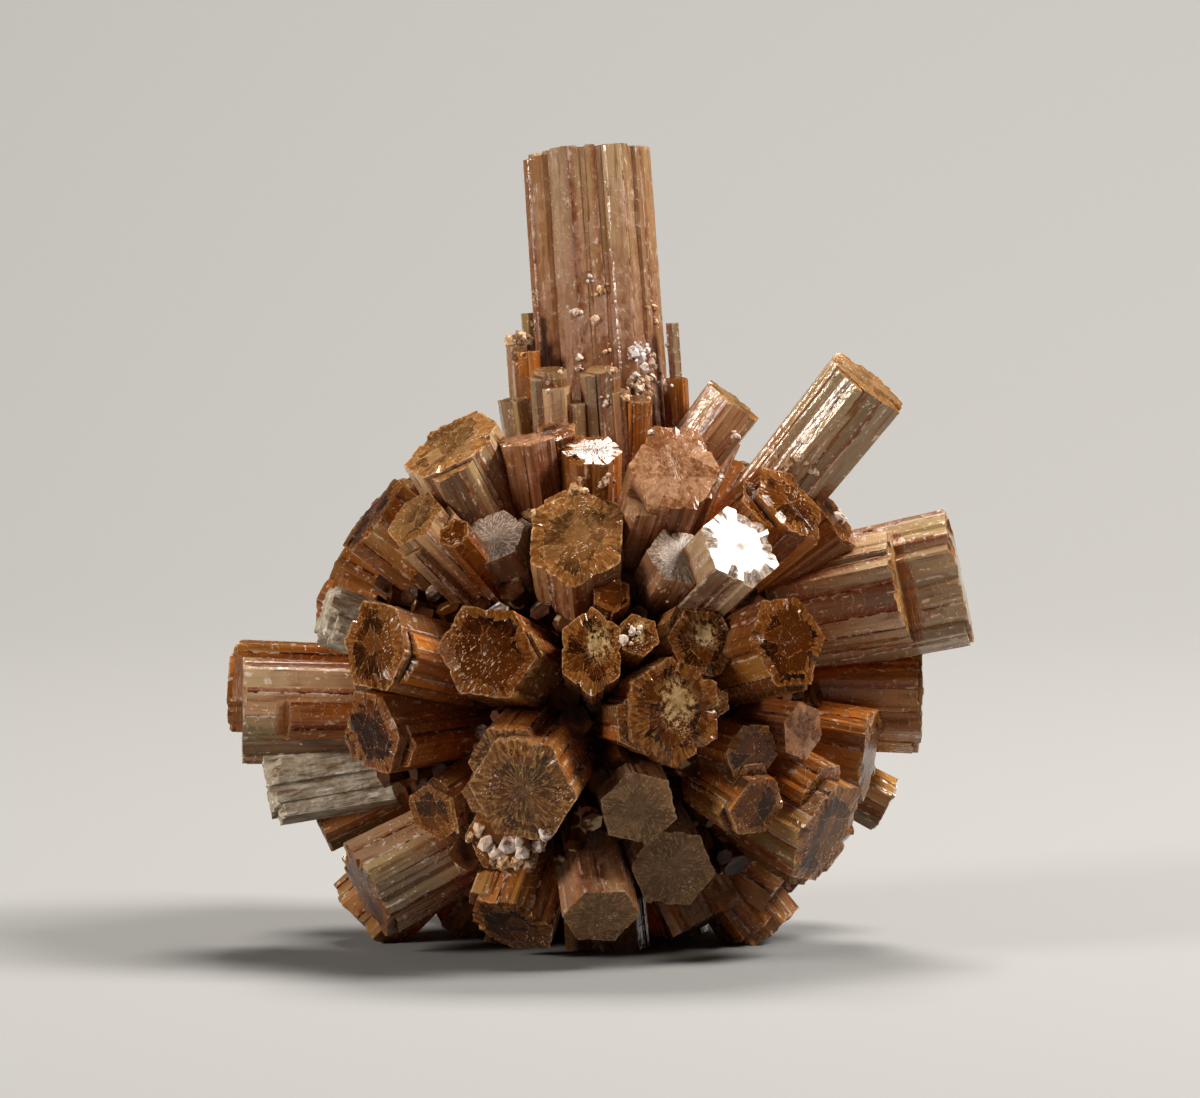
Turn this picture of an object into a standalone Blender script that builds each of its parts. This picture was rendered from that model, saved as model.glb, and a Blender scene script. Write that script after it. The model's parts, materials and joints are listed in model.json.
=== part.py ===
"""Aragonite sputnik cluster: one ball of twinned six-sided prisms grown out from a common heart, with a tall
spire on top and a small flat spot below on which it rests. Metres, +Z up, front towards -Y, origin on the floor
under the middle of the cluster."""

import math
import random
from collections import namedtuple

import bmesh
import bpy
from mathutils import Matrix, Vector

MM = 0.001
HEART = Vector((-0.65, -0.57, 18.3)) * MM   # the point that every prism grows out from
CORE_RADIUS = 13.0 * MM                  # inside this the roots are one solid mass
ROOT_RADIUS = 8.0 * MM                   # where each prism starts, buried in the core
VIEW_DOWN_DEG = 5.0                      # the front view looks down on the cluster by this much
CUTTER_SIZE = 90.0 * MM                  # floor cutter, larger than the cluster

# A prism as it is seen from the front. bearing is clockwise from straight up and lean is towards the viewer, both
# in degrees. reach runs from the heart to the middle of the free end and width is across the corners, both in mm.
# flat squeezes the prism, turn spins it about its axis and swing tips its axis off the line to the heart. root is
# its width at the root as a share of its free end. twins lists the twins on its sides, or is None for chance ones.
Prism = namedtuple("Prism", "bearing lean reach width flat turn swing root twins",
                   defaults=(1.0, 0.0, 0.0, 0.86, None))

# A twin on the side of a prism: where it sits round the axis, counterclockwise as seen from the free end, how far
# off the axis as a share of the prism's width, how much lower it ends in mm, and its share of the prism's width.
Twin = namedtuple("Twin", "side_deg offset drop share")

SPIRE = [
    Prism(-0.65, -4, 41.3, 9.3, 0.90, 30, -3.35, root=1.06, twins=(
        Twin(270, 0.24, 0.35, 0.56),
        Twin(90, 0.24, 0.1, 0.56),
        Twin(14, 0.24, 0.2, 0.44),
        Twin(335, 0.25, 0.3, 0.34),
        Twin(190, 0.26, 0.6, 0.55),
    )),
]

# Short prisms that grew against the foot of the spire, tallest first, and those behind it.
SPIRE_FOOT = [
    Prism(-9.5, 0, 29.3, 1.0, 1.0, 10, 5.5),
    Prism(-11.8, 2, 27.7, 2.2, 0.8, 0, 8),
    Prism(-10.6, 4, 26.6, 2.2, 0.9, 25, 7),
    Prism(12.0, 0, 28.8, 1.1, 1.0, 0, -16),
    Prism(-7.1, 12.5, 25.4, 2.9, 0.8, 30, 3, twins=(Twin(20, 0.35, 1.1, 0.8), Twin(300, 0.35, 0.4, 0.5))),
    Prism(1.9, 12.5, 25.3, 3.0, 0.8, 30, -6, twins=(Twin(60, 0.4, 1.6, 0.6), Twin(300, 0.4, 0.2, 0.5))),
    Prism(-3.4, 15, 23.0, 1.8, 1.0, 15, 0),
    Prism(8.3, 13, 23.3, 3.0, 0.8, 30, -8),
    Prism(14.5, 4, 24.9, 1.9, 1.0, 30, -18),
    Prism(-14.5, 8, 23.4, 3.2, 0.8, 10, 6),
    Prism(6.0, -20, 28.0, 5.2, 1.0, 12, -4),
    Prism(-8.0, -20, 26.4, 4.6, 1.0, 40, 4),
    Prism(-1.0, -24, 25.2, 3.4, 1.0, 0, 0),
]

# Long prisms that stand out from the ball at the upper and the middle right.
RIGHT_FAN = [
    Prism(25.4, 8, 25.0, 5.2, 1.0, 30, 12, twins=()),
    Prism(40.8, 13, 32.2, 7.4, 0.95, 42, -2, twins=(Twin(80, 0.25, 0.1, 0.6), Twin(250, 0.28, 0.25, 0.55))),
    Prism(71.3, 3, 29.1, 10.2, 0.95, 0, 7, twins=(Twin(20, 0.22, 0.2, 0.6), Twin(160, 0.24, 0.35, 0.55))),
    Prism(70.2, 10, 25.0, 8.8, 0.95, 0, 9, twins=(Twin(10, 0.24, 0.3, 0.55), Twin(200, 0.22, 0.2, 0.6))),
    Prism(90.3, -2, 24.6, 7.9, 0.95, 0, 1, twins=(Twin(60, 0.24, 0.3, 0.6), Twin(180, 0.24, 0.5, 0.5))),
    Prism(101.2, 12, 21.6, 7.0, 0.95, 0, 0),
    Prism(119.2, 27, 22.4, 8.6, 1.0, 20, 0),
    Prism(109.7, -10, 23.7, 4.4, 1.0, 0, 8),
    Prism(135.3, 3, 19.8, 4.4, 1.0, 30, -10),
    Prism(45.0, 30, 24.0, 7.0, 0.9, 15, 4),
    Prism(53.0, 14, 23.4, 5.4, 1.0, 0, 0),
]

# Prisms along the left side, from the lower left up to the shoulder.
LEFT_FAN = [
    Prism(230.2, 14, 22.6, 7.8, 0.95, 0, 12, twins=(Twin(60, 0.24, 0.4, 0.55), Twin(200, 0.26, 0.7, 0.5))),
    Prism(225.9, -10, 24.0, 7.2, 1.0, 0, 0),
    Prism(244.6, 0, 22.4, 4.0, 1.0, 20, 0),
    Prism(252.0, -6, 25.0, 3.2, 1.0, 30, 0),
    Prism(255.3, 5, 25.1, 5.2, 0.8, 0, 6),
    Prism(268.4, 2, 26.1, 8.4, 0.95, 0, 2, twins=(Twin(30, 0.24, 0.2, 0.55), Twin(190, 0.24, 0.35, 0.5))),
    Prism(271.9, -6, 27.1, 7.0, 0.9, 0, 0, twins=(Twin(0, 0.3, 0.5, 0.5), Twin(170, 0.3, 0.9, 0.5))),
    Prism(266.5, 13, 23.4, 3.4, 1.0, 30, 4),
    Prism(288.0, 14, 21.6, 5.0, 0.8, 10, 0),
    Prism(310.2, 12, 21.9, 7.4, 0.95, 30, -2, twins=(Twin(80, 0.24, 0.3, 0.55), Twin(210, 0.24, 0.5, 0.5))),
    Prism(316.0, 35, 23.0, 5.0, 1.0, 0, 0),
    Prism(321.0, 48, 24.0, 2.6, 1.0, 20, 0),
    Prism(331.4, 25, 24.0, 8.6, 0.9, 15, 0, twins=(Twin(70, 0.26, 0.5, 0.5), Twin(220, 0.24, 0.3, 0.6))),
    Prism(346.0, 30, 23.1, 4.4, 1.0, 30, 6),
    Prism(352.5, 27, 22.7, 3.2, 1.0, 0, 2),
]

# Prisms along the bottom, whose ends the floor cuts off.
LOWER_FAN = [
    Prism(154.0, 43, 18.7, 6.4, 1.0, 30, 0, twins=()),
    Prism(177.6, 45, 22.2, 5.9, 1.0, 30, -8, twins=()),
    Prism(199.8, 27, 19.8, 7.2, 1.0, 30, 0, twins=(Twin(40, 0.3, 0.8, 0.5),)),
    Prism(152.2, 6, 18.7, 7.0, 1.0, 0, 0),
    Prism(176.0, 2, 18.9, 6.2, 1.0, 15, 0),
]

# The prisms that point at the viewer, from the top of the ball down.
FRONT_ROSETTE = [
    Prism(0.0, 33, 22.2, 4.6, 1.0, 30, 0),
    Prism(19.5, 41, 24.3, 7.2, 0.95, 15, 0, twins=(Twin(120, 0.36, 0.9, 0.45), Twin(250, 0.24, 0.3, 0.6))),
    Prism(355.0, 54, 20.9, 8.6, 0.92, 0, 0, twins=(Twin(20, 0.34, 0.7, 0.4), Twin(320, 0.36, 1.0, 0.36))),
    Prism(329.2, 46, 20.4, 5.2, 1.0, 0, 0, twins=(Twin(330, 0.38, 1.2, 0.4),)),
    Prism(43.3, 49, 24.2, 6.6, 1.0, 0, 0, twins=()),
    Prism(30.8, 54, 21.3, 5.0, 1.0, 15, 0, twins=()),
    Prism(10.6, 65, 19.2, 3.0, 1.0, 0, 0),
    Prism(60.9, 63, 20.3, 5.6, 1.0, 20, 0, twins=(Twin(35, 0.3, 0.4, 0.55), Twin(330, 0.3, 0.6, 0.5))),
    Prism(72.7, 50, 23.5, 7.3, 1.0, 30, 0, twins=(Twin(200, 0.26, 0.9, 0.55),)),
    Prism(0.0, 80, 22.0, 6.7, 0.74, 0, 0, twins=()),
    Prism(33.9, 74, 22.0, 3.3, 1.0, 10, 0),
    Prism(295.7, 68, 23.0, 7.6, 0.95, 30, 0, twins=(Twin(270, 0.28, 0.6, 0.5),)),
    Prism(284.9, 45, 23.4, 7.6, 0.85, 30, 0, twins=(Twin(250, 0.26, 0.8, 0.6),)),
    Prism(262.6, 45, 23.0, 6.9, 0.8, 30, 0, twins=(Twin(240, 0.3, 1.0, 0.5), Twin(110, 0.3, 0.5, 0.5))),
    Prism(95.7, 74, 21.8, 8.2, 0.95, 0, 0, twins=(Twin(280, 0.4, 0.5, 0.32), Twin(110, 0.25, 0.7, 0.6))),
    Prism(97.7, 42, 21.1, 4.6, 1.0, 10, 0),
    Prism(107.6, 52, 20.1, 4.8, 1.0, 25, 0),
    Prism(218.2, 70, 23.6, 8.5, 0.95, 25, 0, twins=(Twin(40, 0.24, 1.3, 0.72), Twin(105, 0.42, 2.2, 0.42))),
    Prism(155.9, 65, 20.0, 6.1, 1.0, 15, 0, twins=()),
    Prism(122.3, 47, 21.1, 5.0, 1.0, 30, 0),
    Prism(235.4, 47, 20.8, 4.6, 1.0, 0, 0),
    Prism(214.0, 52, 20.4, 5.8, 0.8, 20, 0),
]

# Long prisms on the far side of the ball, of which the front view shows nothing.
FAR_SIDE = [
    Prism(215.0, -52, 27.5, 7.2, 0.95, 10, 3),
    Prism(335.0, -58, 26.4, 6.4, 1.0, 30, -4),
    Prism(95.0, -46, 26.8, 8.0, 0.95, 0, 5),
    Prism(40.0, -38, 25.4, 6.2, 1.0, 20, 0),
    Prism(270.0, -40, 25.2, 7.0, 0.9, 30, -4),
]

# Smaller twins that grew against the side of each wide prism and end a little lower.
TWIN_SEED = 11
TWO_TWINS_FROM = 5.0 * MM        # a prism this wide has two twins
ONE_TWIN_FROM = 3.6 * MM
TWIN_WIDTH_SHARE = (0.48, 0.66)
TWIN_OFFSET_SHARE = (0.22, 0.34)
TWIN_DROP = (0.25, 1.3)          # mm
TWIN_TURN_DEG = 7                # a twin's faces are turned a little from its neighbour's

# The sides that the front view doesn't show: prisms of the same habit spread evenly over the ball.
BACK_SEED = 5
BACK_SPOTS = 122
BACK_JITTER = 0.07
BACK_WIDTH = (5.2, 8.6)          # mm
BACK_REACH = (19.8, 22.2)        # mm, at the rim that the front view shows
BACK_EXTRA_REACH = 2.2           # mm more for a prism that points straight away from the viewer
FILL_REACH = (16.2, 17.6)        # mm, for prisms between those that the front view shows
FILL_WIDTH = 6.4                 # mm at most
BACK_CROWDING = 0.40             # share of two widths that must lie between two axes
FRONT_LEAN = 0.10                # past this lean a prism belongs to the front


def from_front(bearing_deg, lean_deg):
    """Unit vector of a line that is seen at this bearing and leans this much towards the viewer."""
    bearing = math.radians(bearing_deg)
    lean = math.radians(lean_deg)
    seen = Vector((math.cos(lean) * math.sin(bearing), -math.sin(lean), math.cos(lean) * math.cos(bearing)))
    return Matrix.Rotation(math.radians(-VIEW_DOWN_DEG), 3, "X") @ seen


def prism_frame(axis, turn_deg):
    """Rotation that lays +Z along the axis, with +X, a corner, at the turn from the side nearest to straight up."""
    toward = Vector((0, 0, 1)) if abs(axis.z) < 0.9 else Vector((0, -1, 0))
    side = (toward - toward.dot(axis) * axis).normalized()
    side = Matrix.Rotation(math.radians(turn_deg), 3, axis) @ side
    return Matrix((side, axis.cross(side), axis)).transposed()


def add_prism(name, end, axis, turn_deg, width, flat, root_share, length, collection):
    """One closed six-sided prism, from its free end back along its axis."""
    mesh = bpy.data.meshes.new(name)
    shape = bmesh.new()
    bmesh.ops.create_cone(shape, cap_ends=True, segments=6, radius1=width / 2 * root_share, radius2=width / 2,
                          depth=length)
    bmesh.ops.translate(shape, verts=shape.verts, vec=(0, 0, -length / 2))
    bmesh.ops.rotate(shape, verts=shape.verts, matrix=Matrix.Rotation(math.radians(30), 3, "Z"))
    bmesh.ops.scale(shape, verts=shape.verts, vec=(1, flat, 1))
    place = Matrix.Translation(end) @ prism_frame(axis, turn_deg).to_4x4()
    bmesh.ops.transform(shape, verts=shape.verts, matrix=place)
    shape.to_mesh(mesh)
    shape.free()
    prism = bpy.data.objects.new(name, mesh)
    prism.display_type = "WIRE"
    prism.hide_render = True
    collection.objects.link(prism)


def chance_twins(width, chance):
    """Twins for a prism whose own aren't given."""
    count = 2 if width >= TWO_TWINS_FROM else 1 if width >= ONE_TWIN_FROM else 0
    side_deg = chance.uniform(0, 360)
    twins = []
    for _ in range(count):
        twins.append(Twin(side_deg, chance.uniform(*TWIN_OFFSET_SHARE), chance.uniform(*TWIN_DROP),
                          chance.uniform(*TWIN_WIDTH_SHARE)))
        side_deg += chance.uniform(110, 200)
    return twins


def grow(name, prism, end, axis, collection, chance):
    """A prism and the twins on its sides, all parallel."""
    width = prism.width * MM
    length = (end - HEART).dot(axis) - ROOT_RADIUS
    add_prism(name, end, axis, prism.turn, width, prism.flat, prism.root, length, collection)
    twins = chance_twins(width, chance) if prism.twins is None else prism.twins
    for number, twin in enumerate(twins):
        sideways = prism_frame(axis, twin.side_deg) @ Vector((twin.offset * width, 0, 0))
        drop = twin.drop * MM
        add_prism(f"{name}_twin{number}", end + sideways - axis * drop, axis, prism.turn + TWIN_TURN_DEG,
                  width * twin.share, 1.0, prism.root, length - drop, collection)


def grow_seen(group_name, group, collection, chance):
    """Every prism of a hand-placed group. Returns their lines from the heart and their widths."""
    lines = []
    for number, prism in enumerate(group):
        out = from_front(prism.bearing, prism.lean)
        axis = from_front(prism.bearing + prism.swing, prism.lean)
        grow(f"{group_name}_{number}", prism, HEART + out * prism.reach * MM, axis, collection, chance)
        lines.append((out, prism.width * MM))
    return lines


def grow_unseen(taken, collection):
    """Prisms on evenly spread lines, wherever no other prism is close."""
    chance = random.Random(BACK_SEED)
    golden_turn = math.pi * (3 - math.sqrt(5))
    lines = list(taken)
    for spot in range(BACK_SPOTS):
        height = 1 - 2 * (spot + 0.5) / BACK_SPOTS
        ring = math.sqrt(1 - height * height)
        out = Vector((ring * math.cos(golden_turn * spot), ring * math.sin(golden_turn * spot), height))
        out = (out + Vector([chance.uniform(-BACK_JITTER, BACK_JITTER) for _ in range(3)])).normalized()
        width = chance.uniform(*BACK_WIDTH)
        reach = chance.uniform(*BACK_REACH) + BACK_EXTRA_REACH * max(0, out.y)
        prism = Prism(0, 0, reach, width, flat=chance.uniform(0.86, 1.0), turn=chance.uniform(0, 60))
        if -out.y > FRONT_LEAN:
            prism = prism._replace(reach=chance.uniform(*FILL_REACH), width=min(width, FILL_WIDTH))
        room = min(out.angle(line) * prism.reach * MM - BACK_CROWDING * (prism.width * MM + near)
                   for line, near in lines)
        if room > 0:
            grow(f"back_{spot}", prism, HEART + out * prism.reach * MM, out, collection, chance)
            lines.append((out, prism.width * MM))


def add_boolean(target, operation, **operand):
    cut = target.modifiers.new(operation.lower(), "BOOLEAN")
    cut.operation = operation
    cut.solver = "EXACT"
    for name, value in operand.items():
        setattr(cut, name, value)


def amber_material():
    material = bpy.data.materials.new("amber_aragonite")
    material.use_nodes = True
    shader = material.node_tree.nodes["Principled BSDF"]
    shader.inputs["Base Color"].default_value = (0.36, 0.19, 0.08, 1)
    shader.inputs["Roughness"].default_value = 0.35
    shader.inputs["Metallic"].default_value = 0.0
    return material


def new_collection(name):
    collection = bpy.data.collections.new(name)
    bpy.context.scene.collection.children.link(collection)
    return collection


for old in list(bpy.data.objects):
    bpy.data.objects.remove(old, do_unlink=True)
cluster_collection = new_collection("aragonite_sputnik_cluster")
prisms = new_collection("prisms")
cutters = new_collection("cutters")

twin_chance = random.Random(TWIN_SEED)
seen = []
for group_name, group in (("spire", SPIRE), ("foot", SPIRE_FOOT), ("right", RIGHT_FAN), ("left", LEFT_FAN),
                          ("lower", LOWER_FAN), ("front", FRONT_ROSETTE), ("far", FAR_SIDE)):
    seen += grow_seen(group_name, group, prisms, twin_chance)
grow_unseen(seen, prisms)

# The solid core, joined with every prism and cut off flat where it rests.
core_mesh = bpy.data.meshes.new("aragonite_cluster")
core = bmesh.new()
bmesh.ops.create_icosphere(core, subdivisions=2, radius=CORE_RADIUS)
bmesh.ops.translate(core, verts=core.verts, vec=HEART)
core.to_mesh(core_mesh)
core.free()
cluster = bpy.data.objects.new("aragonite_cluster", core_mesh)
cluster.data.materials.append(amber_material())
cluster_collection.objects.link(cluster)
add_boolean(cluster, "UNION", operand_type="COLLECTION", collection=prisms)

floor_mesh = bpy.data.meshes.new("floor_cutter")
floor = bmesh.new()
bmesh.ops.create_cube(floor, size=CUTTER_SIZE)
bmesh.ops.translate(floor, verts=floor.verts, vec=(0, 0, -CUTTER_SIZE / 2))
floor.to_mesh(floor_mesh)
floor.free()
floor_cutter = bpy.data.objects.new("floor_cutter", floor_mesh)
floor_cutter.display_type = "WIRE"
floor_cutter.hide_render = True
cutters.objects.link(floor_cutter)
add_boolean(cluster, "DIFFERENCE", operand_type="OBJECT", object=floor_cutter)
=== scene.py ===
import json
import math
import random
from collections import namedtuple

import bmesh
import bpy
from mathutils import Matrix, Vector
from mathutils.bvhtree import BVHTree
from mathutils.noise import noise as noise_at

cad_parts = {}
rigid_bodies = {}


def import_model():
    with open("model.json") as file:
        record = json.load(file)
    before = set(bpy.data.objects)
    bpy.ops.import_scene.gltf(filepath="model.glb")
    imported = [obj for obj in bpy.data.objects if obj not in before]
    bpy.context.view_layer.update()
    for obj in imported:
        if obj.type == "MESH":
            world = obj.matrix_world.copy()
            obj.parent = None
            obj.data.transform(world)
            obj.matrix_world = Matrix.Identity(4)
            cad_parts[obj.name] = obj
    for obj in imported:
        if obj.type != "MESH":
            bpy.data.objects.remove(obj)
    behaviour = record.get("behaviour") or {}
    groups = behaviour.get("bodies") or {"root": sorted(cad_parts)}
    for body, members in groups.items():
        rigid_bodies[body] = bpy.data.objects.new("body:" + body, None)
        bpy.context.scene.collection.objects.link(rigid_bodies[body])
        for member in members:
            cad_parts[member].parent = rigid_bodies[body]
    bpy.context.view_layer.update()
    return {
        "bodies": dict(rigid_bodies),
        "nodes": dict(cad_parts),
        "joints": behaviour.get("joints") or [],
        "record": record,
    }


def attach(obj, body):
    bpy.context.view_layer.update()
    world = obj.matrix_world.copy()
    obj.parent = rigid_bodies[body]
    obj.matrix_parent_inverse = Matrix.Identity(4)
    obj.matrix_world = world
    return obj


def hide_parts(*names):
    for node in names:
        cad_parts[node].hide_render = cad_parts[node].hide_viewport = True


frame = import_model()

# The view of the cluster: a long lens a metre away that looks slightly down on it, framed as in the
# photograph. The plain contrast look keeps the stone's dark parts deep.
VIEW_DOWN_DEG = 5.0
VIEW_DISTANCE = 1.0
VIEW_TARGET = Vector((-0.00004, 0.0, 0.02959))
VIEW_WIDTH = 0.08955    # what the frame takes in at the target, in metres
camera_data = bpy.data.cameras.new("view")
camera_data.sensor_width = 36.0
camera_data.lens = 36.0 * VIEW_DISTANCE / VIEW_WIDTH
camera_data.clip_start = 0.01
camera_data.clip_end = 20.0
camera = bpy.data.objects.new("view", camera_data)
view_down = math.radians(VIEW_DOWN_DEG)
camera.location = VIEW_TARGET + Vector((0, -math.cos(view_down), math.sin(view_down))) * VIEW_DISTANCE
camera.rotation_euler = (math.pi / 2 - view_down, 0, 0)
bpy.context.scene.collection.objects.link(camera)
bpy.context.scene.camera = camera
bpy.context.scene.view_settings.view_transform = "Standard"
bpy.context.scene.view_settings.look = "Medium High Contrast"

# The table top that the cluster stands on: pale matt paper, which rises a little far behind. It stays low
# enough there to leave the view from behind free.
sweep_mesh = bpy.data.meshes.new("table_sweep")
sweep = bmesh.new()
SWEEP_START = 0.25
SWEEP_RADIUS = 0.3
sweep_line = [(-1.2, 0.0), (SWEEP_START, 0.0)]
for step in range(1, 7):
    bend = math.radians(6 * step)
    sweep_line.append((SWEEP_START + SWEEP_RADIUS * math.sin(bend), SWEEP_RADIUS * (1 - math.cos(bend))))
sweep_rows = [[sweep.verts.new((x, y, z)) for x in (-1.5, 1.5)] for y, z in sweep_line]
for below, above in zip(sweep_rows, sweep_rows[1:]):
    sweep.faces.new((below[0], below[1], above[1], above[0]))
sweep.to_mesh(sweep_mesh)
sweep.free()
sweep_mesh.shade_smooth()
table_sweep = bpy.data.objects.new("table_sweep", sweep_mesh)
bpy.context.scene.collection.objects.link(table_sweep)


def new_finish(name):
    """A new material, with its node tree and its shader."""
    material = bpy.data.materials.new(name)
    material.use_nodes = True
    return material, material.node_tree, material.node_tree.nodes["Principled BSDF"]


pale_paper, _, shader = new_finish("pale_paper")
shader.inputs["Base Color"].default_value = (0.265, 0.27, 0.275, 1)
shader.inputs["Roughness"].default_value = 0.9
table_sweep.data.materials.append(pale_paper)


def add_lamp(name, place, size, power, tint):
    """A square soft light that faces the middle of the cluster."""
    lamp_data = bpy.data.lights.new(name, "AREA")
    lamp_data.size = size
    lamp_data.energy = power
    lamp_data.color = tint
    lamp = bpy.data.objects.new(name, lamp_data)
    lamp.location = place
    lamp.rotation_euler = (VIEW_TARGET - Vector(place)).to_track_quat("-Z", "Y").to_euler()
    bpy.context.scene.collection.objects.link(lamp)


# Soft studio light: a lamp above and a little behind, one at the upper right and one at the left in front,
# each a square panel in a slightly warm white, and a dim warm surround that fills the shadows.
add_lamp("light_above", place=(0.06, 0.275, 0.565), size=0.20, power=4.0, tint=(1.0, 0.94, 0.86))
add_lamp("light_upper_right", place=(0.41, -0.05, 0.47), size=0.21, power=5.0, tint=(1.0, 0.95, 0.88))
add_lamp("light_left", place=(-0.49, -0.305, 0.225), size=0.18, power=2.8, tint=(1.0, 0.94, 0.86))
world = bpy.data.worlds.new("studio")
world.use_nodes = True
world.node_tree.nodes["Background"].inputs["Color"].default_value = (1.0, 0.96, 0.90, 1)
world.node_tree.nodes["Background"].inputs["Strength"].default_value = 0.06
bpy.context.scene.world = world

# The spire: the tall prism on top, a bundle of six twins that share one axis. Amber aragonite with flat,
# striated sides, rust in the grooves between the twins and a ragged end.
MM = 0.001
HEART = Vector((-0.65, -0.57, 18.3)) * MM   # the point that every prism grows out from
ROOT_RADIUS = 8.0 * MM
TWIN_TURN_DEG = 3
STRIAE_PER_MM = 3.6
SHARP_EDGE_DEG = 10
CUT_HEIGHT = 0.00001    # where the floor cuts the lowest prisms, a hair above it
# A prism is given by where its end is seen from the heart: the bearing clockwise from the top and the lean
# towards the viewer, in degrees, and the reach in mm. Then come its width across the corners in mm, how flat
# it is, its turn about its axis, and how far that axis swings off the line to the end.
Prism = namedtuple("Prism", "bearing lean reach width flat turn swing root twins look sides tilt",
                   defaults=(1.0, 0.0, 0.0, 0.86, None, "amber", None, 0.0))
# A twin stands to one side of its prism: how far out as a share of the width, how many mm lower, how wide.
Twin = namedtuple("Twin", "side_deg offset drop share")
Grown = namedtuple("Grown", "place axis corner length width flat root look sides slope")
Look = namedtuple("Look", "tone cream frost pink feather notch frame")
LOOKS = {   # each a share from 0 to 1; tone runs from dark to pale, and notch is in mm on an 8 mm prism
    "amber": Look(0.45, 0.0, 0.0, 0.0, 0.3, 0.16, 0.4),
    "olive": Look(0.7, 0.1, 0.1, 0.0, 0.3, 0.16, 0.3),
    "dark": Look(0.15, 0.0, 0.0, 0.0, 0.2, 0.16, 0.8),
    "pale": Look(0.85, 0.0, 0.1, 0.0, 0.3, 0.20, 0.3),
    "cream": Look(0.4, 1.0, 0.0, 0.0, 0.5, 0.28, 0.6),
    "frosted": Look(0.6, 0.0, 1.0, 0.0, 0.4, 0.14, 0.2),
    "feathered": Look(0.5, 0.1, 0.3, 0.0, 1.0, 0.18, 0.3),
    "flower": Look(0.97, 0.0, 0.8, 0.0, 0.5, 0.22, 0.0),
    "silver": Look(0.75, 0.0, 0.9, 0.0, 0.6, 0.20, 0.0),
    "lens": Look(0.9, 0.0, 0.1, 0.0, 0.3, 0.20, 1.0),
    "tan": Look(0.78, 0.0, 0.7, 0.0, 0.3, 0.20, 0.3),
    "pink": Look(0.6, 0.1, 0.45, 1.0, 0.3, 0.25, 0.3),
    "red": Look(0.2, 0.0, 0.1, 0.8, 0.3, 0.2, 0.5),
    "mauve": Look(0.72, 0.0, 1.0, 0.0, 0.3, 0.10, 0.3),
    "gap": Look(0.0, 0.0, 0.0, 0.3, 0.0, 0.30, 0.8),
    "chalk": Look(0.9, 0.0, 1.0, 0.0, 0.3, 0.30, 0.3),
}


def from_front(bearing_deg, lean_deg):
    """Unit vector of a line that is seen at this bearing and leans this much towards the viewer."""
    bearing = math.radians(bearing_deg)
    lean = math.radians(lean_deg)
    seen = Vector((math.cos(lean) * math.sin(bearing), -math.sin(lean), math.cos(lean) * math.cos(bearing)))
    return Matrix.Rotation(-view_down, 3, "X") @ seen


def prism_frame(axis, turn_deg):
    """Rotation that lays +Z along the axis and +X, a corner, at the turn from the side nearest to up."""
    toward = Vector((0, 0, 1)) if abs(axis.z) < 0.9 else Vector((0, -1, 0))
    side = (toward - toward.dot(axis) * axis).normalized()
    side = Matrix.Rotation(math.radians(turn_deg), 3, axis) @ side
    return Matrix((side, axis.cross(side), axis)).transposed()


def chance_twins(width, chance):
    """Twins for a prism whose own aren't given."""
    count = 2 if width >= 5.0 * MM else 1 if width >= 3.6 * MM else 0
    side_deg = chance.uniform(0, 360)
    twins = []
    for _ in range(count):
        offset = chance.uniform(0.22, 0.34)
        drop = chance.uniform(0.25, 1.3)
        share = chance.uniform(0.48, 0.66)
        twins.append(Twin(side_deg, offset, drop, share))
        side_deg += chance.uniform(110, 200)
    return twins


def grow(prism, end, axis, chance, bundle):
    """Puts a prism and its twins into a bundle, with the slope of an end that is turned to the viewer."""
    width = prism.width * MM
    length = (end - HEART).dot(axis) - ROOT_RADIUS
    to_viewer = Vector((0, -math.cos(view_down), math.sin(view_down)))
    to_viewer = (to_viewer - to_viewer.dot(axis) * axis).normalized() * math.tan(math.radians(prism.tilt))
    frame = prism_frame(axis, prism.turn)
    slope = (to_viewer.dot(frame.col[0]), to_viewer.dot(frame.col[1]), 0.0)
    bundle.append(Grown(end, axis, frame.col[0], length / MM, float(prism.width), prism.flat, prism.root,
                        prism.look, prism.sides, slope))
    for twin in (chance_twins(width, chance) if prism.twins is None else prism.twins):
        sideways = prism_frame(axis, twin.side_deg) @ Vector((twin.offset * width, 0, 0))
        frame = prism_frame(axis, prism.turn + TWIN_TURN_DEG)
        slope = (to_viewer.dot(frame.col[0]), to_viewer.dot(frame.col[1]), 0.0)
        lower = twin.drop * MM + sideways.dot(to_viewer)
        bundle.append(Grown(end + sideways - axis * lower, axis, frame.col[0], (length - lower) / MM,
                            prism.width * twin.share, 1.0, prism.root, prism.look, None, slope))


def grow_seen(group, chance):
    """The bundle of a listed group, with its lines from the heart and its widths."""
    bundle = []
    for prism in group:
        out = from_front(prism.bearing, prism.lean)
        axis = from_front(prism.bearing + prism.swing, prism.lean)
        grow(prism, HEART + out * prism.reach * MM, axis, chance, bundle)
        taken_lines.append((out, prism.width * MM))
    return bundle


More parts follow.
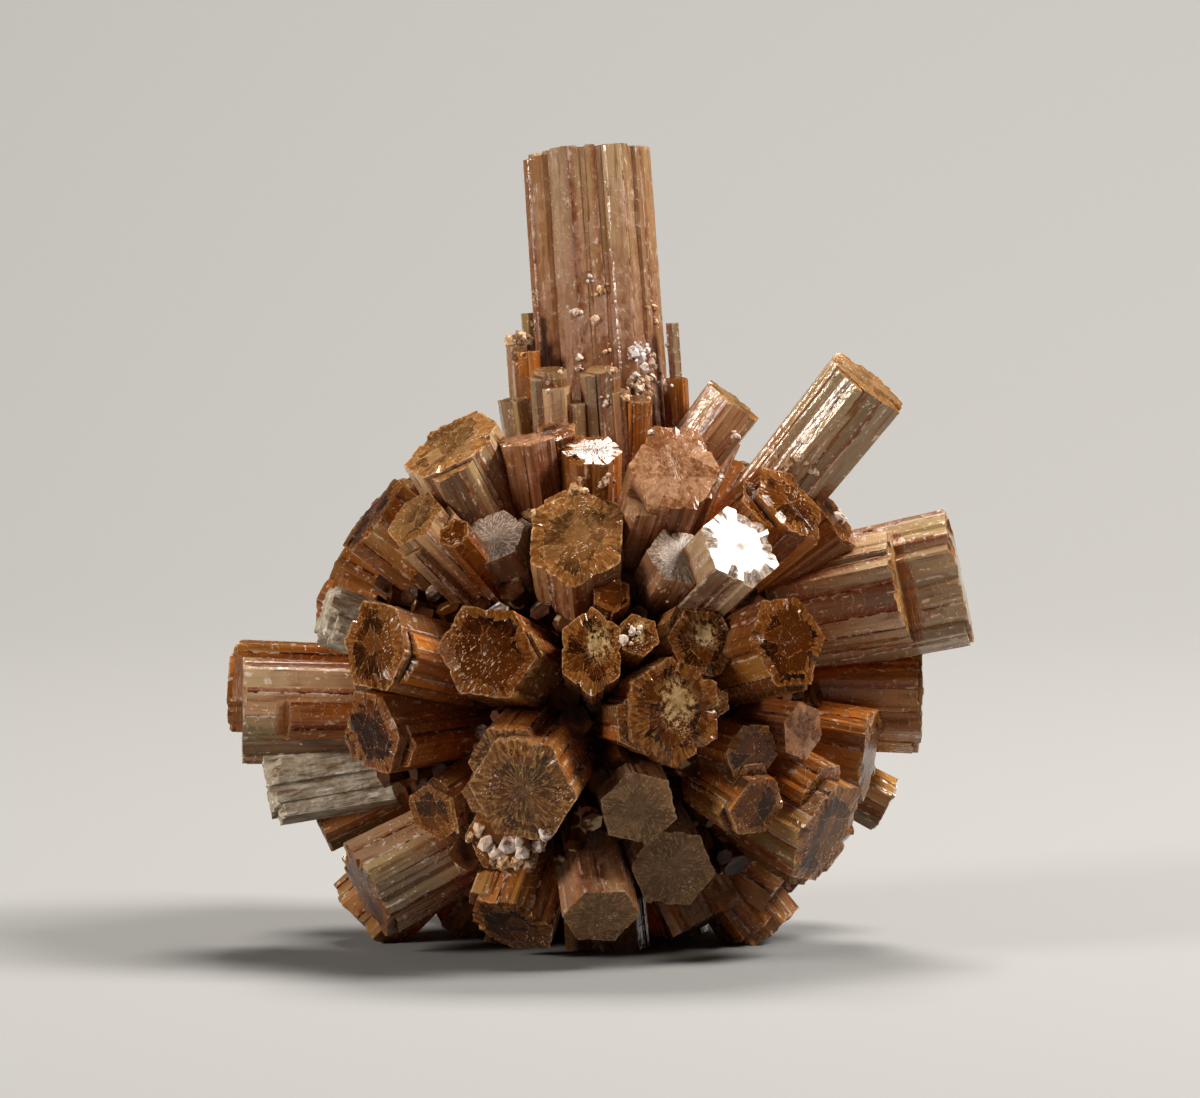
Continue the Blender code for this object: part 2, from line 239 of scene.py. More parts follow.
class Flow:
    """A value in a node tree. Reckoning with it adds Math nodes."""

    def __init__(self, tree, socket):
        self.tree = tree
        self.socket = socket

    def math(self, operation, *terms):
        return add(self.tree, "ShaderNodeMath", dict(enumerate((self,) + terms)), operation=operation)

    def __add__(self, other):
        return self.math("ADD", other)

    def __sub__(self, other):
        return self.math("SUBTRACT", other)

    def __rsub__(self, other):
        return self.math("MULTIPLY_ADD", -1.0, other)

    def __mul__(self, other):
        return self.math("MULTIPLY", other)

    def __truediv__(self, other):
        return self.math("DIVIDE", other)

    __radd__ = __add__
    __rmul__ = __mul__

    def power(self, exponent):
        return self.math("POWER", exponent)

    def between(self, low, high, out_low=0.0, out_high=1.0):
        """Moved from one range into another and held inside it."""
        return add(self.tree, "ShaderNodeMapRange", {0: self, 1: low, 2: high, 3: out_low, 4: out_high})

    def parts(self):
        """The three parts of a vector or a colour."""
        return add(self.tree, "ShaderNodeSeparateXYZ", {0: self}, every=True)


def add(tree, kind, inputs=None, output=0, every=False, **settings):
    """A new node with its settings and inputs. Gives back one of its outputs, or every one."""
    made = tree.nodes.new(kind)
    for name, value in settings.items():
        setattr(made, name, value)
    for place, value in (inputs or {}).items():
        if isinstance(value, Flow):
            tree.links.new(value.socket, made.inputs[place])
        else:
            made.inputs[place].default_value = value
    if every:
        return [Flow(tree, socket) for socket in made.outputs]
    if not len(made.outputs):
        return None
    return Flow(tree, made.outputs[output])


def vector(tree, x, y, z):
    return add(tree, "ShaderNodeCombineXYZ", {0: x, 1: y, 2: z})


def cells(tree, place):
    """Uneven cells along a line: three chances a cell, the place from its middle, the way to its edge."""
    line = {"W": place, "Scale": 1.0}
    chances = add(tree, "ShaderNodeTexVoronoi", line, voronoi_dimensions="1D", every=True)
    named = {flow.socket.name: flow for flow in chances}
    edge = add(tree, "ShaderNodeTexVoronoi", line, voronoi_dimensions="1D", feature="DISTANCE_TO_EDGE",
               output="Distance")
    return named["Color"].parts(), place - named["W"], edge


def read(tree, name, kind="FLOAT"):
    """A named attribute of the points or the mesh."""
    every = add(tree, "GeometryNodeInputNamedAttribute", {"Name": name}, data_type=kind, every=True)
    return next(flow for flow in every if flow.socket.enabled and flow.socket.name == "Attribute")


def keep(tree, geometry, **values):
    """Stores named attributes on the points of a mesh."""
    for name, value in values.items():
        made = tree.nodes.new("GeometryNodeStoreNamedAttribute")
        made.data_type = "FLOAT_VECTOR" if value.socket.type == "VECTOR" else "FLOAT"
        made.inputs["Name"].default_value = name
        tree.links.new(geometry.socket, made.inputs["Geometry"])
        tree.links.new(value.socket, next(s for s in made.inputs if s.enabled and s.name == "Value"))
        geometry = Flow(tree, made.outputs[0])
    return geometry


def prism_tree():
    """Grows one closed, striated prism at every point and joins them where they cross, in mm."""
    tree = bpy.data.node_groups.new("twinned_prisms", "GeometryNodeTree")
    tree.interface.new_socket("Geometry", in_out="OUTPUT", socket_type="NodeSocketGeometry")
    tree.interface.new_socket("Ends", in_out="INPUT", socket_type="NodeSocketGeometry")
    for name, kind, value in (
            ("Steps Around", "NodeSocketInt", 96), ("Steps Along", "NodeSocketInt", 10),
            ("Rings on End", "NodeSocketInt", 7), ("Striae Depth", "NodeSocketFloat", 0.11),
            ("Ragged End", "NodeSocketFloat", 0.40), ("End Relief", "NodeSocketFloat", 0.06),
            ("Side Finish", "NodeSocketMaterial", None), ("End Finish", "NodeSocketMaterial", None)):
        socket = tree.interface.new_socket(name, in_out="INPUT", socket_type=kind)
        if value is not None:
            socket.default_value = value
    given = {flow.socket.name: flow for flow in add(tree, "NodeGroupInput", every=True)}
    zone_in = tree.nodes.new("GeometryNodeForeachGeometryElementInput")
    zone_out = tree.nodes.new("GeometryNodeForeachGeometryElementOutput")
    zone_in.pair_with_output(zone_out)
    zone_out.domain = "POINT"
    tree.links.new(given["Ends"].socket, zone_in.inputs["Geometry"])
    this = {}
    carried_in = [(name, "VECTOR") for name in (
        "place", "axis", "corner", "sides_a", "sides_b", "slope", "look_a", "look_b")]
    carried_in += [(name, "FLOAT") for name in ("length", "width", "flat", "root", "seed", "notch")]
    for name, kind in carried_in:
        zone_out.input_items.new(kind, name)
        if name == "place":
            source = add(tree, "GeometryNodeInputPosition")
        else:
            source = read(tree, name, "FLOAT_VECTOR" if kind == "VECTOR" else "FLOAT")
        tree.links.new(source.socket, zone_in.inputs[name])
    for name in [item.name for item in zone_out.input_items]:
        this[name] = Flow(tree, zone_in.outputs[name])
    width, seed, size = this["width"], this["seed"], this["width"] / 8.0

    # A cone as the start: point down, its flat end up, with rings on the end.
    start = add(tree, "GeometryNodeMeshCone", {
        "Vertices": given["Steps Around"], "Side Segments": given["Steps Along"],
        "Fill Segments": given["Rings on End"], "Radius Top": 1.0, "Radius Bottom": 0.0, "Depth": 1.0})
    x, y, z = add(tree, "GeometryNodeInputPosition").parts()
    angle = y.math("ARCTAN2", x)
    turns = angle / (2 * math.pi)
    share = (x * x + y * y).math("SQRT")
    on_end = z.math("GREATER_THAN", 0.9999)
    rise = 1.0 - (1.0 - z).power(1.7)

    # The outline: six flat sides, each at its own distance, with steps between striae and a few deep notches.
    outline = None
    for number, distance in enumerate(this["sides_a"].parts() + this["sides_b"].parts()):
        away = (angle - math.radians(30 + 60 * number)).math("COSINE").math("MAXIMUM", 0.05)
        side = distance * 0.433 / away
        outline = side if outline is None else outline.math("MINIMUM", side)
    (chance_depth, chance_drop, _), _, _ = cells(tree, turns * width * STRIAE_PER_MM + seed * 40.0)
    _, _, notch = cells(tree, turns * 6.0 + seed * 17.0)
    notch = notch.between(0.0, 0.10, 1.0, 0.0)
    depth = (chance_depth.power(2.0) * given["Striae Depth"] + notch * this["notch"]) * size
    wander_place = vector(tree, x * 2.0, y * 2.0, rise * 2.0 + seed)
    wander = add(tree, "ShaderNodeTexNoise", {"Vector": wander_place, "Scale": 3.0, "Detail": 2.0})
    taper = (this["root"] + rise * (1.0 - this["root"])).math("MINIMUM", z * 11.0)
    in_out = on_end * share + (1.0 - on_end) * taper
    whole = outline * width - depth + (wander - 0.5) * width * 0.015
    radius = whole * in_out

    # The end: every stria stops at its own height, six sectors lean a little, and grooves run outwards.
    drop = (chance_drop.power(3.0) + notch * this["notch"]) * given["Ragged End"] * size
    slope_x, slope_y, _ = this["slope"].parts()
    tilted = whole * (angle.math("COSINE") * slope_x + angle.math("SINE") * slope_y)
    side_height = (rise - 1.0) * (this["length"] - drop - tilted) - drop - tilted
    sector = ((turns + 0.5) * 6.0).math("FLOOR")
    lean = add(tree, "ShaderNodeTexWhiteNoise", {"W": sector + seed * 9.0}, noise_dimensions="1D",
               output="Value")
    ray_place = vector(tree, angle.math("COSINE") * 3.0, angle.math("SINE") * 3.0, share * 0.8 + seed * 5.0)
    feather = add(tree, "ShaderNodeTexNoise", {"Vector": ray_place, "Scale": 2.2, "Detail": 3.0})
    relief = ((lean - 0.6) * 0.8 + (feather - 0.5) * 2.2) * share * given["End Relief"]
    relief = relief * share.between(0.86, 1.0, 1.0, 0.0)
    end_height = relief * size - drop * share.between(0.7, 1.0) - tilted * share
    height = on_end * end_height + (1.0 - on_end) * side_height
    local = vector(tree, radius * angle.math("COSINE"), radius * angle.math("SINE"), height)
    squeeze = vector(tree, 1.0, this["flat"], 1.0)
    squeezed = add(tree, "ShaderNodeVectorMath", {0: local, 1: squeeze}, operation="MULTIPLY")

    # What the finish needs to know of each point, kept before the prism is laid along its axis.
    prism = keep(tree, start, local=local, squeezed=squeezed, look_a=this["look_a"], look_b=this["look_b"],
                 width=width, seed=seed, end=on_end * share.math("LESS_THAN", 0.999), share=share,
                 fade=(this["length"] - 5.0) / 9.0)
    laid_out = read(tree, "squeezed", "FLOAT_VECTOR")
    prism = add(tree, "GeometryNodeSetPosition", {"Geometry": prism, "Position": laid_out})
    turned = add(tree, "FunctionNodeAxesToRotation", {0: this["axis"], 1: this["corner"]},
                 primary_axis="Z", secondary_axis="X")
    prism = add(tree, "GeometryNodeTransform", {
        "Geometry": prism, "Translation": this["place"], "Rotation": turned, "Scale": (MM, MM, MM)})
    prism = add(tree, "GeometryNodeGeometryToInstance", {0: prism})
    tree.links.new(prism.socket, zone_out.inputs["Generation_0"])
    joined = add(tree, "GeometryNodeMeshBoolean", {"Mesh 2": Flow(tree, zone_out.outputs["Generation_0"])},
                 operation="UNION", solver="MANIFOLD")
    joined = add(tree, "GeometryNodeRealizeInstances", {0: joined})
    joined = add(tree, "GeometryNodeRemoveAttribute", {"Geometry": joined, "Name": "squeezed"})
    joined = add(tree, "GeometryNodeSetMaterial", {"Geometry": joined, "Material": given["Side Finish"]})
    on_end = read(tree, "end").math("GREATER_THAN", 0.01)
    joined = add(tree, "GeometryNodeSetMaterial", {"Geometry": joined, "Selection": on_end,
                                                   "Material": given["End Finish"]})
    add(tree, "NodeGroupOutput", {0: joined})
    return tree


twinned_prisms = prism_tree()
look_chance = random.Random(23)


def grow_bundle(name, bundle, side_finish, end_finish, **sizes):
    """Turns a bundle into one closed mesh through the tree, and fastens it to the cluster."""
    ends = bpy.data.meshes.new(name + "_ends")
    ends.from_pydata([place for place, *_ in bundle], [], [])
    rows = []
    for place, axis, corner, length, width, flat, root, look, sides, slope in bundle:
        look = LOOKS[look]
        tone = min(1, max(0, look.tone + look_chance.uniform(-0.12, 0.12)))
        sides = sides or [look_chance.uniform(0.97, 1.05) for _ in range(6)]
        rows.append({
            "axis": axis, "corner": corner, "sides_a": sides[:3], "sides_b": sides[3:], "slope": slope,
            "look_a": (tone, look.cream, look.frost), "look_b": (look.pink, look.feather, look.frame),
            "length": length, "width": width, "flat": flat, "root": root,
            "seed": look_chance.uniform(0, 10), "notch": look.notch})
    for key, first in rows[0].items():
        if isinstance(first, float):
            ends.attributes.new(key, "FLOAT", "POINT").data.foreach_set("value", [row[key] for row in rows])
        else:
            parts = [part for row in rows for part in row[key]]
            ends.attributes.new(key, "FLOAT_VECTOR", "POINT").data.foreach_set("vector", parts)
    piece = bpy.data.objects.new(name, ends)
    bpy.context.scene.collection.objects.link(piece)
    growth = piece.modifiers.new("growth", "NODES")
    growth.node_group = twinned_prisms
    sizes.update(side_finish=side_finish, end_finish=end_finish)
    for item in twinned_prisms.interface.items_tree:
        if item.name.lower().replace(" ", "_") in sizes:
            growth[item.identifier] = sizes[item.name.lower().replace(" ", "_")]
    grown = bpy.data.meshes.new_from_object(piece.evaluated_get(bpy.context.evaluated_depsgraph_get()))
    piece.modifiers.clear()
    piece.data = grown
    bpy.data.meshes.remove(ends)
    grown.name = name
    trim = bmesh.new()
    trim.from_mesh(grown)
    cut = bmesh.ops.bisect_plane(trim, geom=trim.verts[:] + trim.edges[:] + trim.faces[:],
                                 plane_co=(0, 0, CUT_HEIGHT), plane_no=(0, 0, -1), clear_outer=True)
    cut_edges = [item for item in cut["geom_cut"] if isinstance(item, bmesh.types.BMEdge)]
    if cut_edges:
        bmesh.ops.holes_fill(trim, edges=cut_edges)
    bmesh.ops.triangulate(trim, faces=trim.faces[:])
    trim.to_mesh(grown)
    trim.free()
    grown.shade_smooth()
    grown.set_sharp_from_angle(angle=math.radians(SHARP_EDGE_DEG))
    fasten(piece)
    return piece


def fasten(piece):
    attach(piece, "root")
    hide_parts("aragonite_cluster")


def mix(share, low, high):
    """A colour between two others, each a colour or the output of a node."""
    return add(share.tree, "ShaderNodeMix", {0: share, 6: low, 7: high}, data_type="RGBA", output=2)


def noise(tree, place, scale, detail=3.0, roughness=0.6):
    """Cloudy noise at a place."""
    return add(tree, "ShaderNodeTexNoise",
               {"Vector": place, "Scale": scale, "Detail": detail, "Roughness": roughness})


def carried(tree, name, output="Fac"):
    """What the growth tree kept for the finish."""
    return add(tree, "ShaderNodeAttribute", attribute_name=name, output=output)


AMBER_LIGHT = (0.94, 0.70, 0.12, 1)   # what the stone lets through
AMBER_DEPTH = 520.0                   # how fast it darkens, per metre


def see_through(tree, colour, roughness, height, depth, clear, bend):
    """Sets up the stone: partly clear, and a deeper amber the further light goes through it."""
    shader = tree.nodes["Principled BSDF"]
    tree.links.new(colour.socket, shader.inputs["Base Color"])
    tree.links.new(roughness.socket, shader.inputs["Roughness"])
    bump = add(tree, "ShaderNodeBump", {"Strength": 0.6, "Distance": depth, "Height": height})
    tree.links.new(bump.socket, shader.inputs["Normal"])
    shader.inputs["Transmission Weight"].default_value = clear
    shader.inputs["IOR"].default_value = bend
    shader.inputs["Specular IOR Level"].default_value = 0.36
    absorb = tree.nodes.new("ShaderNodeVolumeAbsorption")
    absorb.inputs["Color"].default_value = AMBER_LIGHT
    absorb.inputs["Density"].default_value = AMBER_DEPTH
    tree.links.new(absorb.outputs[0], tree.nodes["Material Output"].inputs["Volume"])


def shared_effect(name, sockets):
    """A shader node group with named inputs and outputs, and the flows that come out of its inputs."""
    group = bpy.data.node_groups.new(name, "ShaderNodeTree")
    for socket_name, in_out, kind in sockets:
        group.interface.new_socket(socket_name, in_out=in_out, socket_type=kind)
    return group, {flow.socket.name: flow for flow in add(group, "NodeGroupInput", every=True)}


# Tone in the stone: dark prisms are redder and deeper, pale ones lighter and more neutral.
tone_in_stone, stone = shared_effect("tone_in_stone", (
    ("Colour", "INPUT", "NodeSocketColor"), ("Tone", "INPUT", "NodeSocketFloat"),
    ("Colour", "OUTPUT", "NodeSocketColor")))
strength = stone["Tone"] * 0.6 + 0.66
warmth = vector(tone_in_stone, strength * 1.04, strength * (stone["Tone"] * 0.16 + 0.86),
                strength * (stone["Tone"] * 0.35 + 0.70))
toned = add(tone_in_stone, "ShaderNodeVectorMath", {0: stone["Colour"], 1: warmth}, operation="MULTIPLY")
add(tone_in_stone, "NodeGroupOutput", {"Colour": toned})

# The sides: flat bands that run the whole length, each with its own tone, dark rusty lines between the wide
# ones, short pale growth lines across them that are partly painted highlights, painted white glints on the
# flats and along the band edges, and a pale broken lip at the end that is a painted highlight.
striated_sides, tree, _ = new_finish("striated_sides")
x, y, z = carried(tree, "local", "Vector").parts()
tone, _, frost = carried(tree, "look_a", "Vector").parts()
pink, _, _ = carried(tree, "look_b", "Vector").parts()
width, seed, fade = carried(tree, "width"), carried(tree, "seed"), carried(tree, "fade")
turns = y.math("ARCTAN2", x) / (2 * math.pi)
own = seed * 7.3
(band_hue, band_tone, band_rust), band_across, band_edge = cells(tree, turns * width * 1.3 + seed * 13.0)
streak = noise(tree, vector(tree, x * 3.0, y * 3.0, z * 0.22 + own), 1.0, 2.0)
cloud = noise(tree, vector(tree, x * 0.35, y * 0.35, z * 0.30 + own), 1.0, 2.0)
speck = noise(tree, vector(tree, x * 2.0, y * 2.0, z * 1.3), 1.0, 2.0, 0.7)
paleness = tone.between(0.45, 0.8)
colour = mix(paleness, (0.58, 0.245, 0.046, 1), (0.58, 0.460, 0.285, 1))
colour = mix(band_hue.between(0.6, 0.7, 0.0, 0.55), colour, (0.44, 0.340, 0.150, 1))
colour = mix(band_hue.between(0.35, 0.25, 0.0, 0.5), colour, (0.42, 0.240, 0.150, 1))
colour = mix((streak + cloud * 0.5).between(0.82, 0.98, 0.0, 0.55), colour, (0.86, 0.740, 0.540, 1))
depth = ((cloud - 0.5) * 11.0 + (band_tone - 0.5) * 3.5 - z / fade).between(0.5, 12.0)
shade = band_tone.between(0.0, 1.0, 0.45, 1.35)
colour = add(tree, "ShaderNodeVectorMath", {0: colour, "Scale": shade}, operation="SCALE")
shallow = mix(paleness, (0.50, 0.180, 0.030, 1), (0.46, 0.280, 0.145, 1))
colour = mix(depth.between(0.0, 0.5), colour, shallow)
deep = mix(paleness, (0.40, 0.092, 0.009, 1), (0.33, 0.125, 0.038, 1))
colour = mix(depth.between(0.4, 0.75), colour, deep)
colour = mix(depth.between(0.75, 1.0), colour, (0.32, 0.045, 0.004, 1))
colour = mix(streak.between(0.43, 0.35, 0.0, 0.5), colour, (0.20, 0.070, 0.020, 1))
rust = (cloud * 0.7 + band_rust * 0.5 + speck * 0.6).between(0.90, 1.00)
rust = band_edge.between(0.05, 0.28, 1.0, 0.0) * rust
colour = mix(rust * 0.9, colour, (0.27, 0.062, 0.014, 1))
dark_core = band_edge.between(0.02, 0.06, 1.0, 0.0) * (cloud + band_tone * 0.4).between(0.55, 0.75)
colour = mix(dark_core, colour, (0.07, 0.014, 0.004, 1))
# Pale growth lines across the bands: real growth steps, whose pale colour is partly a painted highlight on
# their edges.
_, _, growth_edge = cells(tree, z * 1.2 + band_hue * 9.0 + band_across * band_across * 2.0 + speck * 1.6)
growth_line_and_glint = growth_edge.between(0.0, 0.06, 1.0, 0.0) * (speck + cloud).between(0.92, 1.06)
# A pale lip at the broken free end, painted as a highlight where the edge catches light.
lip = ((speck - 0.5) * 0.9 + (streak - 0.5) * 0.8 - z).between(0.0, 0.12, 1.0, 0.0)
lip = lip * cloud.between(0.42, 0.55)
# Painted glints: white specks on the flats and broken white lines along the band edges, standing in for
# highlights.
glint = (speck + (streak - 0.5) * 0.5).between(0.655, 0.69)
edge_glint = band_edge.between(0.0, 0.07, 1.0, 0.0) * (streak + speck).between(1.00, 1.06)
# The growth lines, the lip and the painted glints share one pale colour.
bright = (growth_line_and_glint * 0.6).math("MAXIMUM", lip * 0.6)
bright = bright.math("MAXIMUM", glint * 0.8).math("MAXIMUM", edge_glint * 0.8)
colour = mix(bright, colour, (0.94, 0.85, 0.71, 1))
rosy = mix(streak.between(0.4, 0.6), (0.34, 0.120, 0.060, 1), (0.66, 0.360, 0.240, 1))
colour = mix(pink * cloud.between(0.3, 0.6, 0.2, 0.6), colour, rosy)
mauve = (cloud + (speck - 0.5) * 0.6).between(0.42, 0.58)
mauve = mix(mauve, (0.20, 0.090, 0.050, 1), (0.42, 0.290, 0.215, 1))
colour = mix(frost * depth.between(0.1, 0.6, 0.40, 0.80), colour, mauve)
colour = add(tree, "ShaderNodeGroup", {"Colour": colour, "Tone": tone}, node_tree=tone_in_stone)
roughness = speck.between(0.35, 0.65, 0.04, 0.20) + (growth_line_and_glint + rust) * 0.25
height = streak * 0.25 + speck * 0.45 + growth_line_and_glint * 0.35
see_through(tree, colour, roughness, height, depth=0.00020, clear=0.35, bend=1.5)

# The ends: dark brown glass with amber clouds and plates, pale veins that feather out from the middle, and a
# paler frame along the edge that is partly a painted glow where light passes through the thin rim. A painted
# highlight runs along the broken edge, and white specks are painted sparkle.
feathered_ends, tree, _ = new_finish("feathered_ends")
x, y, _ = carried(tree, "local", "Vector").parts()
tone, cream, frost = carried(tree, "look_a", "Vector").parts()
pink, feather, frame_share = carried(tree, "look_b", "Vector").parts()
share, width, seed = carried(tree, "share"), carried(tree, "width"), carried(tree, "seed")
tone = tone - frame_share.between(0.85, 1.0, 0.0, 0.65)
angle = y.math("ARCTAN2", x)
own = seed * 7.3
cloud = noise(tree, vector(tree, x * 0.35, y * 0.35, own), 1.0, 2.0)
speck = noise(tree, vector(tree, x, y, own), 2.2, 3.0, 0.7)
plates = {"Vector": vector(tree, x * 0.60 + own + speck * 0.35, y * 0.60 + cloud * 0.5, 0.0), "Scale": 1.0}
plate_chances = add(tree, "ShaderNodeTexVoronoi", plates, voronoi_dimensions="2D", output="Color")
panel, plate_tone, _ = plate_chances.parts()
crack = add(tree, "ShaderNodeTexVoronoi", plates, voronoi_dimensions="2D", feature="DISTANCE_TO_EDGE",
            output="Distance")
spin = vector(tree, angle.math("COSINE"), angle.math("SINE"), share * 0.5 + own)
ray = noise(tree, spin, 13.0, 3.0, 0.65)
paleness = tone.between(0.5, 0.9)
low_tone = mix(paleness, (0.036, 0.0075, 0.0010, 1), (0.15, 0.075, 0.024, 1))
high_tone = mix(paleness, (0.135, 0.036, 0.004, 1), (0.33, 0.195, 0.083, 1))
colour = mix((cloud * 1.2 + speck * 0.5).between(0.78, 0.98), low_tone, high_tone)
panels = (panel + (speck - 0.5) * 0.1).between(0.55, 0.60, 0.0, 0.6)
colour = mix(panels, colour, mix(paleness, (0.21, 0.068, 0.008, 1), (0.43, 0.285, 0.135, 1)))
# The amber frame near the rim: a real zone of the end, partly a painted glow where light passes through the
# thin edge.
rim_place = share + (speck - 0.5) * 0.12 + (plate_tone - 0.5) * 0.3
rim = rim_place.between(0.74, 0.78)
rim_tone = mix(ray.between(0.40, 0.60), (0.26, 0.090, 0.016, 1), (0.44, 0.220, 0.070, 1))
colour = mix(rim * (frame_share * 0.5 + 0.4), colour, rim_tone)
frame_line = (rim_place - 0.74).math("ABSOLUTE").between(0.0, 0.02, 1.0, 0.0)
frame_line = frame_line * (ray + speck).between(0.90, 1.10)
vein = crack.between(0.0, 0.03, 1.0, 0.0) * (ray + speck).between(0.95, 1.10)
vein = vein.math("MAXIMUM", frame_line)
colour = mix(vein * 0.75, colour, (0.70, 0.46, 0.22, 1))
frosted = mix(plate_tone, (0.30, 0.170, 0.078, 1), (0.54, 0.350, 0.180, 1))
colour = mix(frost * speck.between(0.30, 0.65, 0.35, 0.85), colour, frosted)
colour = mix(frost * ray.between(0.55, 0.60, 0.0, 0.5), colour, (0.60, 0.480, 0.320, 1))
silver = mix(ray.between(0.4, 0.6), (0.17, 0.140, 0.125, 1), (0.56, 0.530, 0.510, 1))
colour = mix(frame_share.between(0.0, 0.1, 0.8, 0.0), colour, silver)
engraved = frost * (ray - 0.5).math("ABSOLUTE").between(0.0, 0.035, 1.0, 0.0)
colour = mix(engraved * 0.7, colour, (0.075, 0.035, 0.014, 1))
colour = mix(feather * ray.between(0.52, 0.62, 0.0, 0.7), colour, (0.50, 0.320, 0.100, 1))
groove = feather * ray.between(0.42, 0.35)
colour = mix(groove * 0.6, colour, (0.05, 0.016, 0.003, 1))
beside = vector(tree, x / width - 0.10, y / width + 0.06, 0.0)
beside = add(tree, "ShaderNodeVectorMath", {0: beside}, operation="LENGTH", output="Value")
lace = (speck - 0.52).math("ABSOLUTE").between(0.0, 0.05, 1.0, 0.0)
lace = lace * (cloud * 1.2 - beside * 2.2).between(0.0, 0.3)
creamy = cream * lace.math("MAXIMUM", (speck * 1.3 + cloud - beside * 2.6).between(0.75, 0.95))
cream_tone = mix(speck.between(0.45, 0.65), (0.50, 0.36, 0.15, 1), (0.84, 0.68, 0.42, 1))
colour = mix(creamy * 0.85, colour, cream_tone)
# A painted highlight along the broken edge of the end, where it catches light.
edge = (share + (speck - 0.5) * 0.1).between(0.95, 0.985) * (ray + cloud).between(0.88, 1.08)
colour = mix(edge * 0.8, colour, (0.70, 0.47, 0.26, 1))
rosy = (speck + (plate_tone - 0.5) * 0.3).between(0.35, 0.65)
rosy = mix(rosy, (0.30, 0.120, 0.055, 1), (0.74, 0.480, 0.330, 1))
colour = mix(pink * cloud.between(0.3, 0.6, 0.3, 0.7), colour, rosy)
# Painted sparkle: small white specks that stand in for glints off tiny facets.
painted_sparkle = noise(tree, vector(tree, x * 9.0 + y * 4.0, y * 3.0 - x * 2.0, own), 1.0, 1.0)
painted_sparkle = (painted_sparkle + (cloud - 0.5) * 0.6).between(0.745, 0.77)
colour = mix(painted_sparkle * 0.9, colour, (0.98, 0.90, 0.78, 1))
colour = add(tree, "ShaderNodeGroup", {"Colour": colour, "Tone": tone}, node_tree=tone_in_stone)
roughness = speck.between(0.35, 0.7, 0.05, 0.16) + creamy * 0.3
height = (speck * (0.5 - feather * 0.3) + ray * (feather + frost) * 0.4) * (1.5 - tone * 1.3)
see_through(tree, colour, roughness, height, depth=0.00018, clear=0.35, bend=1.45)

twin_chance = random.Random(11)
taken_lines = []
SPIRE = [
    Prism(-0.65, -4, 41.3, 9.3, 0.90, 30, -3.35, root=1.06, twins=(
        Twin(270, 0.24, 0.35, 0.56), Twin(90, 0.24, 0.1, 0.56), Twin(14, 0.24, 0.2, 0.44),
        Twin(335, 0.25, 0.3, 0.34), Twin(190, 0.26, 0.6, 0.55)), look="mauve"),
]
grow_bundle("spire", grow_seen(SPIRE, twin_chance), striated_sides, feathered_ends,
            steps_around=176, steps_along=34, rings_on_end=9)

# Short prisms that grew against the foot of the spire, glassy and tan with white edges, and those behind it.
# They share its root and lean away from it by a few degrees.
SPIRE_FOOT = [
    Prism(-9.5, 0, 29.3, 1.0, 1.0, 10, 5.5, look="tan"),
    Prism(-11.8, 2, 27.7, 2.2, 0.8, 0, 8, look="tan"),
    Prism(-10.6, 4, 26.6, 2.2, 0.9, 25, 7),
    Prism(12.0, 0, 28.8, 1.1, 1.0, 0, -16, look="tan"),
    Prism(-7.1, 12.5, 25.4, 2.9, 0.8, 30, 3, look="tan",
          twins=(Twin(20, 0.35, 1.1, 0.8), Twin(300, 0.35, 0.4, 0.5))),
    Prism(1.9, 12.5, 25.3, 3.0, 0.8, 30, -6, look="tan",
          twins=(Twin(60, 0.4, 1.6, 0.6), Twin(300, 0.4, 0.2, 0.5))),
    Prism(-3.4, 15, 23.0, 1.8, 1.0, 15, 0, look="tan"),
    Prism(8.3, 13, 23.3, 3.0, 0.8, 30, -8),
    Prism(14.5, 4, 24.9, 1.9, 1.0, 30, -18),
    Prism(-14.5, 8, 23.4, 3.2, 0.8, 10, 6, look="tan"),
    Prism(6.0, -20, 28.0, 5.2, 1.0, 12, -4),
    Prism(-8.0, -20, 26.4, 4.6, 1.0, 40, 4),
    Prism(-1.0, -24, 25.2, 3.4, 1.0, 0, 0),
]
grow_bundle("spire_foot", grow_seen(SPIRE_FOOT, twin_chance), striated_sides, feathered_ends,
            steps_around=72, steps_along=8, rings_on_end=5)

# Long prisms that stand out from the ball at the upper and the middle right, clear olive aragonite with rust
# in the grooves.
RIGHT_FAN = [
    Prism(25.4, 8, 25.0, 5.2, 1.0, 30, 12, twins=(), look="pale"),
    Prism(40.8, 13, 32.2, 7.4, 0.95, 42, -2, look="pale",
          twins=(Twin(80, 0.25, 0.1, 0.6), Twin(250, 0.28, 0.25, 0.55))),
    Prism(71.3, 3, 29.1, 10.2, 0.95, 0, 7, look="pale",
          twins=(Twin(20, 0.22, 0.2, 0.6), Twin(160, 0.24, 0.35, 0.55))),
    Prism(70.2, 10, 25.0, 8.8, 0.95, 0, 9, look="pale",
          twins=(Twin(10, 0.24, 0.3, 0.55), Twin(200, 0.22, 0.2, 0.6))),
    Prism(90.3, -2, 24.6, 7.9, 0.95, 0, 1, twins=(Twin(60, 0.24, 0.3, 0.6), Twin(180, 0.24, 0.5, 0.5))),
    Prism(101.2, 12, 21.6, 7.0, 0.95, 0, 0),
    Prism(119.2, 27, 22.4, 8.6, 1.0, 20, 0),
    Prism(109.7, -10, 23.7, 4.4, 1.0, 0, 8),
    Prism(135.3, 3, 19.8, 4.4, 1.0, 30, -10),
    Prism(45.0, 30, 24.0, 7.0, 0.9, 15, 4),
    Prism(53.0, 14, 23.4, 5.4, 1.0, 0, 0),
]
grow_bundle("right_fan", grow_seen(RIGHT_FAN, twin_chance), striated_sides, feathered_ends,
            steps_around=120, steps_along=12, rings_on_end=7)

